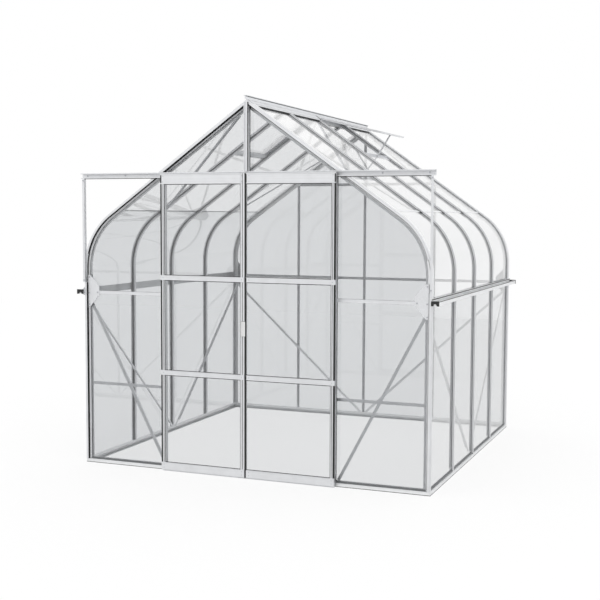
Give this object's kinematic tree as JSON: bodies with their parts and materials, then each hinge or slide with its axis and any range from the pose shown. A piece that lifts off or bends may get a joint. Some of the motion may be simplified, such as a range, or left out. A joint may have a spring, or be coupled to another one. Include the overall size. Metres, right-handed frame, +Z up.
{
  "type": "greenhouse",
  "caption": "Walk-in aluminium greenhouse with curved eaves, glazed walls and roof, gutters, roof vents and a pair of sliding doors.",
  "frame": {"origin": "on the ground, at the centre of the whole object's box", "axes": "+X to the right as seen facing the doors, across the gutters, the longest way; +Y from the door gable to the back gable; +Z up, the shortest way"},
  "size_m": [2.629, 2.5636, 2.5514],
  "materials": {
    "aluminium": "mill finish, satin",
    "glass": "clear float glass",
    "black_plastic": "matt",
    "white_plastic": "satin",
    "roller_nylon": "satin"
  },
  "bodies": {
    "house": {"back_braces": "aluminium", "back_gable_bars": "aluminium", "back_glass": "glass", "back_rails": "aluminium", "back_sill": "aluminium", "back_studs": "aluminium", "corner_gussets": "aluminium", "corner_posts": "aluminium", "door_guide": "aluminium", "door_header": "aluminium", "door_jambs": "aluminium", "door_track": "aluminium", "front_braces": "aluminium", "front_gable_bars": "aluminium", "front_glass": "glass", "front_sill": "aluminium", "front_stud": "aluminium", "front_waist_rails": "aluminium", "gutter_caps": "black_plastic", "knee_rails": "aluminium", "lap_strips": "aluminium", "left_eave_glass": "glass", "left_gutter": "aluminium", "left_roof_bars": "aluminium", "left_roof_glass": "glass", "left_sill": "aluminium", "left_vent_sash": "aluminium", "left_wall_bars": "aluminium", "left_wall_glass": "glass", "ridge": "aluminium", "right_eave_glass": "glass", "right_gutter": "aluminium", "right_roof_bars": "aluminium", "right_roof_glass": "glass", "right_sill": "aluminium", "right_vent_sash": "aluminium", "right_wall_bars": "aluminium", "right_wall_glass": "glass", "roof_braces": "aluminium", "track_struts": "aluminium", "vent_glass": "glass", "vent_sills": "aluminium", "vent_stays": "aluminium", "wall_braces": "aluminium"},
    "left_door": {"left_door_frame": "aluminium", "left_door_glass": "glass", "left_door_rollers": "roller_nylon", "door_handle": "white_plastic"},
    "right_door": {"right_door_frame": "aluminium", "right_door_glass": "glass", "right_door_rollers": "roller_nylon"}
  },
  "joints": [
    {"name": "left_door_slide", "type": "slide", "parent": "house", "child": "left_door", "axis": [-1, 0, 0], "range_m": [0, 0.6]},
    {"name": "right_door_slide", "type": "slide", "parent": "house", "child": "right_door", "axis": [1, 0, 0], "range_m": [0, 0.6]}
  ]
}
